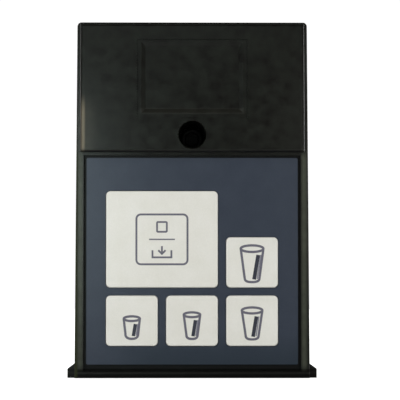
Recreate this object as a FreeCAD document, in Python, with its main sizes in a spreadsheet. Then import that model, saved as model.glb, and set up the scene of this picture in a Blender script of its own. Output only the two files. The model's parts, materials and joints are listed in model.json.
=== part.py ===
import FreeCAD, Part
import math
import os
import Sketcher

# Keypad module of a fountain soda dispensing valve, in millimetres.
# X points right, Y points to the rear and Z points up. The origin is under the middle of the
# module's box. Depths are measured to the rear from the rim of the keypad pocket.

Vector = FreeCAD.Vector
Rotation = FreeCAD.Rotation
Placement = FreeCAD.Placement

doc = FreeCAD.newDocument("KeypadModule")

DIMENSIONS = {
    # housing shell
    "width_low": 74.5,
    "width_high": 73.1,
    "height": 113.0,
    "housing_depth": 31.0,
    "wall": 2.2,
    "front_wall_back": 3.2,
    "corner_round": 1.3,
    "edge_round": 0.6,
    "rim_plane": -20.5,
    # raised upper block
    "block_low": 71.6,
    "block_high": 112.4,
    "block_width": 71.2,
    "block_rise_low": 2.4,
    "block_rise_high": 1.0,
    "block_round": 0.9,
    # label recess, measured along the block's sloping face
    "recess_width": 35.0,
    "recess_low": 82.2,
    "recess_high": 107.5,
    "recess_step": 0.4,
    "recess_depth": 1.2,
    "recess_slope": 59.0,
    "recess_lip": 1.0,
    "recess_overlap": 0.2,
    # screw well
    "well_height": 77.1,
    "well_radius": 4.25,
    "well_tube_radius": 6.0,
    "well_seat": 26.0,
    "well_floor_back": 27.5,
    "well_end": 28.5,
    "shank_hole_radius": 2.8,
    "captive_pocket_radius": 4.6,
    # rails at the bottom corners
    "rail_reach": 2.35,
    "rail_side": 2.9,
    "rail_top": 4.6,
    "rail_front": 3.0,
    # keypad pocket and overlay
    "pocket_width": 68.9,
    "pocket_low": 2.3,
    "pocket_high": 70.6,
    "pocket_depth": 1.2,
    "overlay_width": 67.1,
    "overlay_low": 4.3,
    "overlay_high": 69.8,
    "overlay_thick": 0.5,
    "overlay_corner": 0.5,
    # keys
    "column_middle": -0.07,
    "column_pitch": 19.05,
    "row_low": 18.12,
    "row_pitch": 18.47,
    "key_width": 16.4,
    "key_height": 15.95,
    "stop_height": 30.6,
    "key_corner": 1.4,
    "key_gap": 0.15,
    "key_front": 0.25,
    "key_skin": 1.2,
    "key_edge": 0.35,
    "flange_reach": 0.8,
    "flange_thick": 0.8,
    "flange_gap": 0.1,
    "plunger_radius": 1.9,
    "plunger_end": 5.25,
    # silicone mat and domes
    "dome_top": 5.3,
    "dome_base": 7.0,
    "dome_base_radius": 3.6,
    "dome_top_radius": 2.2,
    "dome_skin": 0.5,
    "mat_width": 56.6,
    "mat_low": 9.4,
    "mat_high": 61.0,
    "mat_hole_radius": 3.1,
    # boards
    "board_width": 65.2,
    "board_low": 8.8,
    "keypad_board_high": 67.8,
    "control_board_high": 103.4,
    "board_thick": 1.6,
    "keypad_board_front": 8.0,
    "control_board_front": 19.6,
    "board_hole_across": 60.8,
    "board_hole_low": 12.4,
    "board_hole_high": 64.2,
    "post_across": 59.0,
    "post_height": 97.0,
    "post_radius": 2.6,
    "board_boss_radius": 1.9,
    "board_pilot_radius": 0.9,
    "board_screw_radius": 0.8,
    "board_screw_reach": 5.0,
    "board_pilot_depth": 4.5,
    "board_screw_head_radius": 1.9,
    "board_screw_head": 1.4,
    "spacer_radius": 2.2,
    "pad_radius": 2.4,
    "pad_thick": 0.1,
    # components
    "package_width": 10.0,
    "package_height": 9.2,
    "package_thick": 4.5,
    "tab_height": 15.4,
    "tab_thick": 1.3,
    "tab_hole_up": 12.6,
    "tab_hole_radius": 1.85,
    "chip_left": 6.0,
    "chip_low": 40.0,
    "chip_width": 10.0,
    "chip_height": 18.0,
    "chip_thick": 1.8,
    "lead_reach": 1.2,
    "lead_width": 0.7,
    "lead_thick": 0.5,
    "lead_pitch": 1.95,
    "lead_first": 0.6,
    "diode_left": -27.0,
    "diode_low": 54.5,
    "diode_pitch": 4.0,
    "diode_radius": 1.35,
    "diode_length": 5.2,
    "resonator_left": 20.5,
    "resonator_low": 46.0,
    "resonator_width": 4.6,
    "resonator_height": 6.6,
    "resonator_thick": 3.5,
    "resistor_left": -14.0,
    "resistor_low": 55.0,
    "resistor_column": 6.5,
    "resistor_row": 3.6,
    "resistor_width": 3.2,
    "resistor_height": 1.6,
    "resistor_thick": 0.6,
    "capacitor_across": 14.0,
    "capacitor_up": 93.0,
    "capacitor_radius": 4.0,
    "capacitor_length": 11.5,
    "surge_left": -25.0,
    "surge_up": 82.0,
    "surge_radius": 4.6,
    "surge_thick": 3.6,
    "surge_stand_off": 6.0,
    "surge_lead_radius": 0.4,
    "surge_lead_length": 4.5,
    "surge_lead_pitch": 5.0,
    "header_width": 23.0,
    "header_low": 64.8,
    "header_height": 2.6,
    # rear cover, gasket and cover screws
    "gasket_thick": 0.5,
    "gasket_edge": 0.2,
    "gasket_width": 1.8,
    "cover_thick": 2.5,
    "cover_edge": 0.8,
    "lip_gap": 0.15,
    "lip_thick": 1.2,
    "lip_reach": 2.0,
    "boss_radius": 3.0,
    "boss_end": 29.4,
    "boss_across_low": 63.8,
    "boss_across_high": 62.8,
    "boss_low": 5.1,
    "boss_high": 107.9,
    "cover_hole_radius": 1.6,
    "cover_screw_radius": 1.25,
    "cover_screw_length": 11.0,
    "countersink": 1.3,
    "pilot_depth": 9.5,
    "panel_width": 54.0,
    "panel_low": 37.0,
    "panel_high": 65.0,
    "panel_sink": 0.5,
    "panel_corner": 3.0,
    "surround": 2.2,
    "grip_width": 40.0,
    "grip_low": 88.0,
    "grip_pitch": 3.6,
    "grip_groove": 1.4,
    # harness connector
    "shell_width": 26.0,
    "shell_height": 9.4,
    "shell_centre": 24.0,
    "shell_wall": 1.2,
    "shell_floor": 2.0,
    "shell_end": 33.8,
    "shell_window_gap": 0.3,
    "pin_side": 0.64,
    "pin_pitch": 3.4,
    "pin_end": 29.2,
    # retaining screw
    "head_radius": 3.9,
    "head_height": 3.2,
    "washer_thick": 0.8,
    "washer_hole_radius": 2.3,
    "waist_radius": 2.0,
    "thread_radius": 2.5,
    "thread_start": 36.4,
    "thread_end": 43.4,
    "tip_chamfer": 0.6,
    "hex_across": 4.0,
    "hex_depth": 2.2,
}

sheet = doc.addObject("Spreadsheet::Sheet", "Dims")
for row, (alias, number) in enumerate(DIMENSIONS.items(), start=1):
    cell = f"B{row}"
    sheet.set(f"A{row}", alias.replace("_", " "))
    sheet.set(cell, str(number))
    sheet.setAlias(cell, alias)
doc.recompute()

TO_FRONT = Rotation(Vector(1, 0, 0), 90)
TO_REAR = Rotation(Vector(1, 0, 0), -90)
ALONG_X = Rotation(Vector(0, 1, 0), 90)


def expand(text):
    """Writes each dimension's alias in an expression as a reference to the sheet."""
    words = []
    word = ""
    for letter in text + " ":
        if letter.isalnum() or letter in "_.":
            word += letter
            continue
        words.append(f"Dims.{word}" if word in DIMENSIONS else word)
        words.append(letter)
        word = ""
    return "".join(words).strip()


def value(text):
    """The number that an expression has now."""
    return float(sheet.evalExpression(expand(str(text))))


def bind(thing, prop, text):
    """Ties a property to an expression over the sheet's dimensions."""
    thing.setExpression(prop, expand(str(text)))


def place(thing, across="0", depth=None, up="0", rotation=None):
    """Puts a piece at a place across, a depth behind the rim plane and a height."""
    thing.Placement = Placement(Vector(0, 0, 0), rotation or Rotation())
    bind(thing, "Placement.Base.x", across)
    if depth is not None:
        bind(thing, "Placement.Base.y", f"rim_plane + {depth}")
    bind(thing, "Placement.Base.z", up)
    return thing


# ---------------------------------------------------------------- PartDesign helpers

def new_body(label):
    body = doc.addObject("PartDesign::Body", label)
    body.Label = label
    return body


def plane_of(body, role):
    return next(item for item in body.Origin.OriginFeatures if item.Role == role)


def sketch_on(body, role, name):
    """A sketch on one of the body's origin planes."""
    sketch = body.newObject("Sketcher::SketchObject", name)
    sketch.AttachmentSupport = [(plane_of(body, role), "")]
    sketch.MapMode = "FlatFace"
    return sketch


def face_sketch(body, name, depth="0"):
    """A sketch seen from the front, X across and Z up, at a local depth."""
    sketch = sketch_on(body, "XZ_Plane", name)
    bind(sketch, "AttachmentOffset.Base.z", f"-({depth})")
    return sketch


def side_sketch(body, name):
    """A sketch in the middle plane, Y across and Z up."""
    return sketch_on(body, "YZ_Plane", name)


def name_datum(sketch, index, text):
    label = f"datum{index}"
    sketch.renameConstraint(index, label)
    bind(sketch, f"Constraints.{label}", text)


def pin_point(sketch, geometry, end, across, up):
    """Fixes a point at its distances from the sketch's origin."""
    for kind, text in (("DistanceX", across), ("DistanceY", up)):
        constraint = Sketcher.Constraint(kind, -1, 1, geometry, end, value(text))
        name_datum(sketch, sketch.addConstraint(constraint), text)


def polygon(sketch, corners):
    """A closed outline of straight lines through corners given as expressions."""
    points = [Vector(value(across), value(up), 0) for across, up in corners]
    first = sketch.GeometryCount
    count = len(points)
    for index, point in enumerate(points):
        sketch.addGeometry(Part.LineSegment(point, points[(index + 1) % count]), False)
    for index in range(count):
        following = first + (index + 1) % count
        sketch.addConstraint(Sketcher.Constraint("Coincident", first + index, 2, following, 1))
    for index, (across, up) in enumerate(corners):
        pin_point(sketch, first + index, 1, across, up)


def rectangle(sketch, left, low, right, high):
    polygon(sketch, [(left, low), (right, low), (right, high), (left, high)])


def circle(sketch, across, up, radius):
    centre = Vector(value(across), value(up), 0)
    round_edge = Part.Circle(centre, Vector(0, 0, 1), value(radius))
    index = sketch.addGeometry(round_edge, False)
    datum = sketch.addConstraint(Sketcher.Constraint("Radius", index, value(radius)))
    name_datum(sketch, datum, radius)
    pin_point(sketch, index, 3, across, up)


def rounded_rectangle(sketch, left, low, right, high, radius):
    """A rectangle with equal arcs tangent to its sides."""
    x0, z0, x1, z1, r = (value(text) for text in (left, low, right, high, radius))
    sides = [
        (Vector(x0 + r, z0, 0), Vector(x1 - r, z0, 0)),
        (Vector(x1, z0 + r, 0), Vector(x1, z1 - r, 0)),
        (Vector(x1 - r, z1, 0), Vector(x0 + r, z1, 0)),
        (Vector(x0, z1 - r, 0), Vector(x0, z0 + r, 0)),
    ]
    centres = [(x1 - r, z0 + r), (x1 - r, z1 - r), (x0 + r, z1 - r), (x0 + r, z0 + r)]
    first = sketch.GeometryCount
    for turn, ((start, end), (across, up)) in enumerate(zip(sides, centres)):
        sketch.addGeometry(Part.LineSegment(start, end), False)
        ring = Part.Circle(Vector(across, up, 0), Vector(0, 0, 1), r)
        angle = (turn - 1) * math.pi / 2
        sketch.addGeometry(Part.ArcOfCircle(ring, angle, angle + math.pi / 2), False)
    for corner in range(4):
        line = first + 2 * corner
        arc = line + 1
        following = first + 2 * ((corner + 1) % 4)
        sketch.addConstraint(Sketcher.Constraint("Tangent", line, 2, arc, 1))
        sketch.addConstraint(Sketcher.Constraint("Tangent", arc, 2, following, 1))
        direction = "Horizontal" if corner % 2 == 0 else "Vertical"
        sketch.addConstraint(Sketcher.Constraint(direction, line))
        if corner:
            sketch.addConstraint(Sketcher.Constraint("Equal", first + 1, arc))
    datum = sketch.addConstraint(Sketcher.Constraint("Radius", first + 1, r))
    name_datum(sketch, datum, radius)
    for line, kind, text in (
        (first, "DistanceY", low),
        (first + 2, "DistanceX", right),
        (first + 4, "DistanceY", high),
        (first + 6, "DistanceX", left),
    ):
        constraint = Sketcher.Constraint(kind, -1, 1, line, 1, value(text))
        name_datum(sketch, sketch.addConstraint(constraint), text)


def extrude(body, kind, sketch, length, name, to_front=False):
    """Pads or pockets a sketch over a length, to the rear unless told otherwise."""
    feature = body.newObject(f"PartDesign::{kind}", name)
    feature.Profile = sketch
    bind(feature, "Length", length)
    feature.Reversed = to_front if kind == "Pocket" else not to_front
    sketch.Visibility = False
    doc.recompute()
    return feature


def pad(body, sketch, length, name, to_front=False):
    return extrude(body, "Pad", sketch, length, name, to_front)


def pocket(body, sketch, length, name, to_front=False):
    before = body.Shape.Volume
    feature = extrude(body, "Pocket", sketch, length, name, to_front)
    if body.Shape.Volume > before - 1e-6:
        raise RuntimeError(f"{name} removes nothing from {body.Label}")
    return feature


def dress(body, kind, wanted, size, name):
    """Fillets or chamfers the edges of the body that pass a test."""
    base = body.Tip
    edges = [f"Edge{n}" for n, edge in enumerate(base.Shape.Edges, start=1) if wanted(edge)]
    if not edges:
        raise RuntimeError(f"{name} finds no edge on {body.Label}")
    feature = body.newObject(f"PartDesign::{kind}", name)
    feature.Base = (base, edges)
    bind(feature, "Radius" if kind == "Fillet" else "Size", size)
    doc.recompute()
    return feature


def turned(body, corners, name):
    """Turns an outline of (depth, radius) corners about the body's own Y axis."""
    sketch = side_sketch(body, f"{name}_profile")
    polygon(sketch, corners)
    feature = body.newObject("PartDesign::Revolution", name)
    feature.Profile = sketch
    feature.ReferenceAxis = (sketch, ["H_Axis"])
    feature.Angle = 360.0
    sketch.Visibility = False
    doc.recompute()
    return feature


def near(number, target, slack=0.02):
    return abs(number - target) < slack


def runs_rearward(edge):
    """True for a straight edge that runs along Y."""
    box = edge.BoundBox
    return box.YLength > 0.2 and box.XLength < 0.01 and box.ZLength < 0.01


# ---------------------------------------------------------------- Part helpers

def primitive(kind, name, sizes, across="0", depth="0", up="0", rotation=None):
    """A Part primitive with its sizes and place bound to the sheet."""
    solid = doc.addObject(f"Part::{kind}", name)
    for prop, text in sizes.items():
        bind(solid, prop, text)
    return place(solid, across, depth, up, rotation)


def block(name, left, front, low, width, depth, height):
    """A box given by its left, front and low sides and its three sizes."""
    sizes = {"Length": width, "Width": depth, "Height": height}
    return primitive("Box", name, sizes, left, front, low)


def rod(name, across, front, up, radius, length):
    """A round rod that runs to the rear from a depth."""
    sizes = {"Radius": radius, "Height": length}
    return primitive("Cylinder", name, sizes, across, front, up, TO_REAR)


def cross_rod(name, left, depth, up, radius, length):
    """A round rod that runs to the right."""
    sizes = {"Radius": radius, "Height": length}
    return primitive("Cylinder", name, sizes, left, depth, up, ALONG_X)


def cut(label, base, tool):
    result = doc.addObject("Part::Cut", label)
    result.Base = base
    result.Tool = tool
    result.Label = label
    return result


def fuse(label, pieces):
    result = doc.addObject("Part::MultiFuse", label)
    result.Shapes = pieces
    result.Label = label
    return result


def group(label, pieces):
    """Separate solids that share one node."""
    result = doc.addObject("Part::Compound", label)
    result.Links = pieces
    result.Label = label
    return result


# ---------------------------------------------------------------- shared outlines

def outline(sketch, inset="0"):
    """The module's outline: sides that lean in towards the top, inset all round."""
    low = f"width_low / 2 - ({inset})"
    high = f"width_high / 2 - ({inset})"
    top = f"height - ({inset})"
    polygon(sketch, [(f"-({low})", inset), (low, inset), (high, top), (f"-({high})", top)])


SIDES = (-1, 1)
COVER_SCREWS = [
    (f"{side} * boss_across_{end} / 2", f"boss_{end}") for end in ("low", "high") for side in SIDES
]
BOARD_HOLES = [
    (f"{side} * board_hole_across / 2", f"board_hole_{end}") for end in ("low", "high") for side in SIDES
]
POSTS = [(f"{side} * post_across / 2", "post_height") for side in SIDES]

# each key's centre across and up, its width and its height
KEYS = {
    "stop_fill": (
        "column_middle - column_pitch / 2",
        "row_low + row_pitch - key_height / 2 + stop_height / 2",
        "column_pitch + key_width",
        "stop_height",
    ),
    "small": ("column_middle - column_pitch", "row_low", "key_width", "key_height"),
    "medium": ("column_middle", "row_low", "key_width", "key_height"),
    "large": ("column_middle + column_pitch", "row_low", "key_width", "key_height"),
    "extra_large": ("column_middle + column_pitch", "row_low + row_pitch", "key_width", "key_height"),
}


def key_windows(sketch):
    """The five openings that the keys stand in."""
    for across, up, width, height in KEYS.values():
        rounded_rectangle(
            sketch,
            f"{across} - ({width}) / 2 - key_gap",
            f"{up} - ({height}) / 2 - key_gap",
            f"{across} + ({width}) / 2 + key_gap",
            f"{up} + ({height}) / 2 + key_gap",
            "key_corner + key_gap",
        )


# ---------------------------------------------------------------- housing and cover

def front_housing():
    body = new_body("front_housing")
    place(body, depth="0")
    shell = face_sketch(body, "housing_outline")
    outline(shell)
    pad(body, shell, "housing_depth", "housing_block")
    top = value("height")
    dress(body, "Fillet", lambda e: runs_rearward(e) and near(e.BoundBox.ZMin, top), "corner_round", "top_corners")
    dress(body, "Fillet", lambda e: near(e.BoundBox.YMax, 0), "edge_round", "rim_edge")

    raised = side_sketch(body, "raised_block_profile")
    polygon(
        raised,
        [
            ("-block_rise_low", "block_low"),
            ("edge_round + 0.5", "block_low"),
            ("edge_round + 0.5", "block_high"),
            ("-block_rise_high", "block_high"),
        ],
    )
    slab = body.newObject("PartDesign::Pad", "raised_block")
    slab.Profile = raised
    bind(slab, "Length", "block_width")
    slab.Midplane = True
    raised.Visibility = False
    doc.recompute()
    dress(body, "Fillet", lambda e: e.BoundBox.YMin < -0.9 and e.BoundBox.YMax < -0.05 and e.Length > 5, "block_round", "block_edge")

    cavity = face_sketch(body, "cavity_outline", "housing_depth")
    outline(cavity, "wall")
    pocket(body, cavity, "housing_depth - front_wall_back", "cavity", to_front=True)

    keypad = face_sketch(body, "keypad_pocket_outline")
    rectangle(keypad, "-pocket_width / 2", "pocket_low", "pocket_width / 2", "pocket_high")
    pocket(body, keypad, "pocket_depth", "keypad_pocket")

    windows = face_sketch(body, "key_window_outlines")
    key_windows(windows)
    pocket(body, windows, "front_wall_back + 0.5", "key_windows")

    rails = face_sketch(body, "rail_outlines", "rail_front")
    for side in SIDES:
        inner = f"{side} * (width_low / 2 - 0.6)"
        outer = f"{side} * (width_low / 2 + rail_reach)"
        polygon(rails, [(inner, "0"), (outer, "0"), (outer, "rail_side"), (inner, "rail_top + 0.4")])
    pad(body, rails, "housing_depth - rail_front", "rails")

    label_recess(body)
    screw_well(body)
    housing_bosses(body)


def label_recess(body):
    """A stepped, sloping recess in the raised block for a blank label."""
    rise = value("block_rise_low") - value("block_rise_high")
    run = value("block_high") - value("block_low")
    tilt = math.degrees(math.atan2(rise, run))

    def sloping_sketch(name, sunk):
        """A sketch in a plane parallel to the block's face, seen from the front."""
        sketch = sketch_on(body, "XZ_Plane", name)
        face_at_foot = value("block_rise_low") - sunk
        origin = Vector(0, value("block_low"), face_at_foot)
        sketch.AttachmentOffset = Placement(origin, Rotation(Vector(1, 0, 0), -tilt))
        return sketch

    def recess_outline(sketch, width, low, high):
        rectangle(sketch, f"-{width} / 2", f"{low} - block_low", f"{width} / 2", f"{high} - block_low")

    step = sloping_sketch("recess_step_outline", 0)
    recess_outline(step, "recess_width", "recess_low", "recess_high")
    pocket(body, step, "recess_step", "recess_step")

    mouth = sloping_sketch("recess_mouth_outline", value("recess_step - recess_overlap"))
    mouth_width = "(recess_width - 2 * recess_lip)"
    recess_outline(mouth, mouth_width, "(recess_low + 1.5 * recess_lip)", "(recess_high - 0.5 * recess_lip)")
    sink = pocket(body, mouth, "recess_depth - recess_step + recess_overlap", "recess_sink")
    bind(sink, "TaperAngle", "-recess_slope")
    doc.recompute()


def screw_well(body):
    """The tube that a screwdriver goes down, with the screw's seat at its foot."""
    tube = face_sketch(body, "well_tube_outline", "front_wall_back - 1")
    circle(tube, "0", "well_height", "well_tube_radius")
    pad(body, tube, "well_end - front_wall_back + 1", "well_tube")
    bore = side_sketch(body, "well_bore_profile")
    axis = "well_height"
    corners = [
        ("-block_rise_low - 1", "0"),
        ("-block_rise_low - 1", "well_radius + 1.05"),
        ("-block_rise_low + 0.55", "well_radius"),
        ("well_seat", "well_radius"),
        ("well_seat", "shank_hole_radius"),
        ("well_floor_back", "shank_hole_radius"),
        ("well_floor_back", "captive_pocket_radius"),
        ("well_end + 1", "captive_pocket_radius"),
        ("well_end + 1", "0"),
    ]
    polygon(bore, [(depth, f"{axis} + {radius}") for depth, radius in corners])
    hollow = body.newObject("PartDesign::Groove", "well_bore")
    hollow.Profile = bore
    foot = bore.GeometryCount
    start = Vector(0, value(axis), 0)
    end = Vector(10, value(axis), 0)
    bore.addGeometry(Part.LineSegment(start, end), True)
    pin_point(bore, foot, 1, "0", axis)
    pin_point(bore, foot, 2, "10", axis)
    hollow.ReferenceAxis = (bore, ["Axis0"])
    hollow.Angle = 360.0
    bore.Visibility = False
    doc.recompute()


def housing_bosses(body):
    """Bosses for the cover's screws, for the keypad board and for the control board's head."""
    root = "front_wall_back - 0.5"
    bosses = face_sketch(body, "cover_boss_outlines", root)
    for across, up in COVER_SCREWS:
        circle(bosses, across, up, "boss_radius")
    pad(body, bosses, f"boss_end - ({root})", "cover_bosses")
    pilots = face_sketch(body, "cover_pilot_outlines", "boss_end")
    for across, up in COVER_SCREWS:
        circle(pilots, across, up, "cover_screw_radius")
    pocket(body, pilots, "pilot_depth", "cover_pilots", to_front=True)

    for name, places, radius, end in (
        ("board_boss", BOARD_HOLES, "board_boss_radius", "keypad_board_front"),
        ("post", POSTS, "post_radius", "control_board_front"),
    ):
        raised = face_sketch(body, f"{name}_outlines", root)
        for across, up in places:
            circle(raised, across, up, radius)
        pad(body, raised, f"{end} - ({root})", f"{name}_pads")
        holes = face_sketch(body, f"{name}_pilot_outlines", end)
        for across, up in places:
            circle(holes, across, up, "board_pilot_radius")
        pocket(body, holes, "board_pilot_depth", f"{name}_pilots", to_front=True)


def rear_cover():
    body = new_body("rear_cover")
    place(body, depth="housing_depth + gasket_thick")
    plate = face_sketch(body, "cover_outline")
    outline(plate)
    pad(body, plate, "cover_thick", "cover_plate")
    top = value("height")
    thick = value("cover_thick")
    dress(body, "Fillet", lambda e: runs_rearward(e) and near(e.BoundBox.ZMin, top), "corner_round", "top_corners")
    dress(body, "Fillet", lambda e: near(e.BoundBox.YMin, thick), "cover_edge", "rear_edge")

    lip = face_sketch(body, "lip_outline")
    outline(lip, "wall + lip_gap")
    outline(lip, "wall + lip_gap + lip_thick")
    pad(body, lip, "lip_reach", "locating_lip", to_front=True)

    pads = face_sketch(body, "screw_pad_outlines")
    for across, up in COVER_SCREWS:
        circle(pads, across, up, "boss_radius - 0.2")
    pad(body, pads, "housing_depth + gasket_thick - boss_end", "screw_pads", to_front=True)
    collar = face_sketch(body, "well_collar_outline")
    circle(collar, "0", "well_height", "well_tube_radius")
    collar_reach = "housing_depth + gasket_thick - well_end - gasket_thick"
    pad(body, collar, collar_reach, "well_collar", to_front=True)

    holes = face_sketch(body, "cover_hole_outlines", "cover_thick")
    for across, up in COVER_SCREWS:
        circle(holes, across, up, "cover_hole_radius")
    pocket(body, holes, "cover_thick + 3", "cover_holes", to_front=True)
    dress(
        body,
        "Chamfer",
        lambda e: near(e.BoundBox.YMin, thick) and near(e.BoundBox.XLength, 2 * value("cover_hole_radius")),
        "countersink",
        "countersinks",
    )
    shank = face_sketch(body, "shank_hole_outline", "cover_thick")
    circle(shank, "0", "well_height", "shank_hole_radius")
    pocket(body, shank, "cover_thick + 4", "shank_hole", to_front=True)

    window = face_sketch(body, "connector_window_outline", "cover_thick")
    half_width = "shell_width / 2 + shell_window_gap"
    half_height = "shell_height / 2 + shell_window_gap"
    rectangle(
        window,
        f"-({half_width})",
        f"shell_centre - ({half_height})",
        half_width,
        f"shell_centre + {half_height}",
    )
    pocket(body, window, "cover_thick + 1", "connector_window", to_front=True)
    cover_relief(body, half_width, half_height)


def cover_relief(body, half_width, half_height):
    """Shallow recesses in the cover's back: a blank panel, two surrounds and grip grooves."""
    relief = face_sketch(body, "relief_outlines", "cover_thick")
    half_panel = "panel_width / 2"
    rounded_rectangle(relief, f"-{half_panel}", "panel_low", half_panel, "panel_high", "panel_corner")
    wide = f"{half_width} + surround"
    tall = f"{half_height} + surround"
    rounded_rectangle(relief, f"-({wide})", f"shell_centre - ({tall})", wide, f"shell_centre + {tall}", "surround")
    circle(relief, "0", "well_height", "well_tube_radius")
    for number in range(4):
        low = f"grip_low + {number} * grip_pitch"
        rectangle(relief, "-grip_width / 2", low, "grip_width / 2", f"{low} + grip_groove")
    pocket(body, relief, "panel_sink", "relief", to_front=True)


def cover_gasket():
    body = new_body("cover_gasket")
    place(body, depth="housing_depth")
    ring = face_sketch(body, "gasket_outline")
    outline(ring, "gasket_edge")
    outline(ring, "gasket_edge + gasket_width")
    pad(body, ring, "gasket_thick", "gasket_ring")
    corner = value("height - gasket_edge")
    dress(body, "Fillet", lambda e: runs_rearward(e) and near(e.BoundBox.ZMin, corner), "corner_round", "top_corners")


def rear_cover_screws():
    """Countersunk screws, their heads flush with the cover."""
    screws = []
    back = "housing_depth + gasket_thick + cover_thick"
    for number, (across, up) in enumerate(COVER_SCREWS, start=1):
        shank = rod(
            f"cover_screw_shank_{number}",
            across,
            f"{back} - cover_screw_length",
            up,
            "cover_screw_radius",
            "cover_screw_length - 0.5",
        )
        head = primitive(
            "Cone",
            f"cover_screw_head_{number}",
            {
                "Radius1": "cover_hole_radius - 0.2",
                "Radius2": "cover_hole_radius + countersink - 0.2",
                "Height": "countersink",
            },
            across,
            f"{back} - countersink",
            up,
            TO_REAR,
        )
        screw = fuse(f"cover_screw_{number}", [shank, head])
        slot = rod(f"cover_screw_drive_{number}", across, f"{back} - 0.8", up, "0.75", "1")
        screws.append(cut(f"cover_screw_cut_{number}", screw, slot))
    return group("rear_cover_screws", screws)


# ---------------------------------------------------------------- screw well's pieces

def retaining_screw():
    """A captive screw: pan head, reduced waist and a thread behind the cover."""
    body = new_body("retaining_screw")
    place(body, depth="0", up="well_height")
    head_front = "well_seat - washer_thick - head_height"
    corners = [
        (head_front, "0"),
        (head_front, "head_radius - 0.9"),
        (f"{head_front} + 0.9", "head_radius"),
        ("well_seat - washer_thick", "head_radius"),
        ("well_seat - washer_thick", "waist_radius"),
        ("thread_start", "waist_radius"),
        ("thread_start", "thread_radius"),
        ("thread_end - tip_chamfer", "thread_radius"),
        ("thread_end", "thread_radius - tip_chamfer"),
        ("thread_end", "0"),
    ]
    turned(body, corners, "screw")
    drive = face_sketch(body, "hex_drive_outline", head_front)
    reach = "hex_across / 2"
    width = f"{reach} / cos(30)"
    polygon(
        drive,
        [
            (f"-({width})", "0"),
            (f"-({width}) / 2", f"-({reach})"),
            (f"({width}) / 2", f"-({reach})"),
            (width, "0"),
            (f"({width}) / 2", reach),
            (f"-({width}) / 2", reach),
        ],
    )
    pocket(body, drive, "hex_depth", "hex_drive")


def ring(label, front, outer, hole, thick):
    """A flat ring on the well's axis."""
    disc = rod(f"{label}_disc", "0", front, "well_height", outer, thick)
    middle = rod(f"{label}_hole", "0", f"{front} - 1", "well_height", hole, f"{thick} + 2")
    return cut(label, disc, middle)


def well_pieces():
    ring("screw_washer", "well_seat - washer_thick", "head_radius", "washer_hole_radius", "washer_thick")
    ring(
        "captive_washer",
        "well_floor_back + 0.05",
        "captive_pocket_radius - 0.05",
        "washer_hole_radius",
        "well_end - well_floor_back - 0.1",
    )
    ring("well_seal", "well_end", "well_tube_radius - 0.1", "captive_pocket_radius + 0.1", "gasket_thick")


# ---------------------------------------------------------------- keypad

def keypad_overlay():
    body = new_body("keypad_overlay")
    place(body, depth="pocket_depth - overlay_thick")
    sheet_outline = face_sketch(body, "overlay_outline")
    half = "overlay_width / 2"
    rounded_rectangle(sheet_outline, f"-{half}", "overlay_low", half, "overlay_high", "overlay_corner")
    key_windows(sheet_outline)
    pad(body, sheet_outline, "overlay_thick", "overlay_sheet")


def key(name, across, up, width, height):
    """A key cap with a retaining flange and a plunger that rests over its dome."""
    body = new_body(f"key_{name}")
    place(body, across, "key_front", up)

    def cap_outline(sketch, grow, corner):
        half_width = f"({width}) / 2 + {grow}"
        half_height = f"({height}) / 2 + {grow}"
        rounded_rectangle(sketch, f"-({half_width})", f"-({half_height})", half_width, half_height, corner)

    flange_front = "front_wall_back + flange_gap - key_front"
    cap = face_sketch(body, "cap_outline")
    cap_outline(cap, "0", "key_corner")
    pad(body, cap, f"{flange_front} + flange_thick", "cap")
    dress(body, "Fillet", lambda e: near(e.BoundBox.YMax, 0), "key_edge", "cap_edge")
    flange = face_sketch(body, "flange_outline", flange_front)
    cap_outline(flange, "flange_reach", "key_corner + flange_reach")
    pad(body, flange, "flange_thick", "flange")
    hollow = face_sketch(body, "hollow_outline", f"{flange_front} + flange_thick")
    cap_outline(hollow, "-key_skin", "key_corner - 0.8")
    pocket(body, hollow, f"{flange_front} + flange_thick - key_skin", "hollow", to_front=True)
    plunger = face_sketch(body, "plunger_outline", "key_skin - 0.2")
    circle(plunger, "0", "0", "plunger_radius")
    pad(body, plunger, "plunger_end - key_front - key_skin + 0.2", "plunger")


def dome(name, across, up):
    """A hollow silicone dome that springs its key back."""
    rise = "dome_base - dome_top"
    sizes = {"Radius1": "dome_base_radius", "Radius2": "dome_top_radius", "Height": rise}
    outside = primitive("Cone", f"dome_{name}_outside", sizes, across, "dome_base", up, TO_FRONT)
    sizes = {
        "Radius1": "dome_base_radius - dome_skin",
        "Radius2": "dome_top_radius - dome_skin",
        "Height": f"{rise} - dome_skin",
    }
    inside = primitive("Cone", f"dome_{name}_inside", sizes, across, "dome_base", up, TO_FRONT)
    cut(f"dome_{name}", outside, inside)


def switch_mat():
    body = new_body("switch_mat")
    place(body, depth="dome_base")
    mat = face_sketch(body, "mat_outline")
    rounded_rectangle(mat, "-mat_width / 2", "mat_low", "mat_width / 2", "mat_high", "key_corner")
    for across, up, *_ in KEYS.values():
        circle(mat, across, up, "mat_hole_radius")
    pad(body, mat, "keypad_board_front - dome_base", "mat")


def contact_pads():
    """Gold discs on the keypad board, one under each dome."""
    pads = [
        rod(f"contact_pad_{name}", across, "keypad_board_front - pad_thick", up, "pad_radius", "pad_thick")
        for name, (across, up, *_) in KEYS.items()
    ]
    return group("contact_pads", pads)


# ---------------------------------------------------------------- boards and what they carry

def board(label, front, high, holes, with_well):
    body = new_body(label)
    place(body, depth=front)
    panel = face_sketch(body, f"{label}_outline")
    rectangle(panel, "-board_width / 2", "board_low", "board_width / 2", high)
    for across, up in holes:
        circle(panel, across, up, "board_pilot_radius + 0.2")
    if with_well:
        circle(panel, "0", "well_height", "well_tube_radius + 0.8")
    pad(body, panel, "board_thick", f"{label}_panel")


BOARD_BACK = "control_board_front + board_thick"


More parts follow.
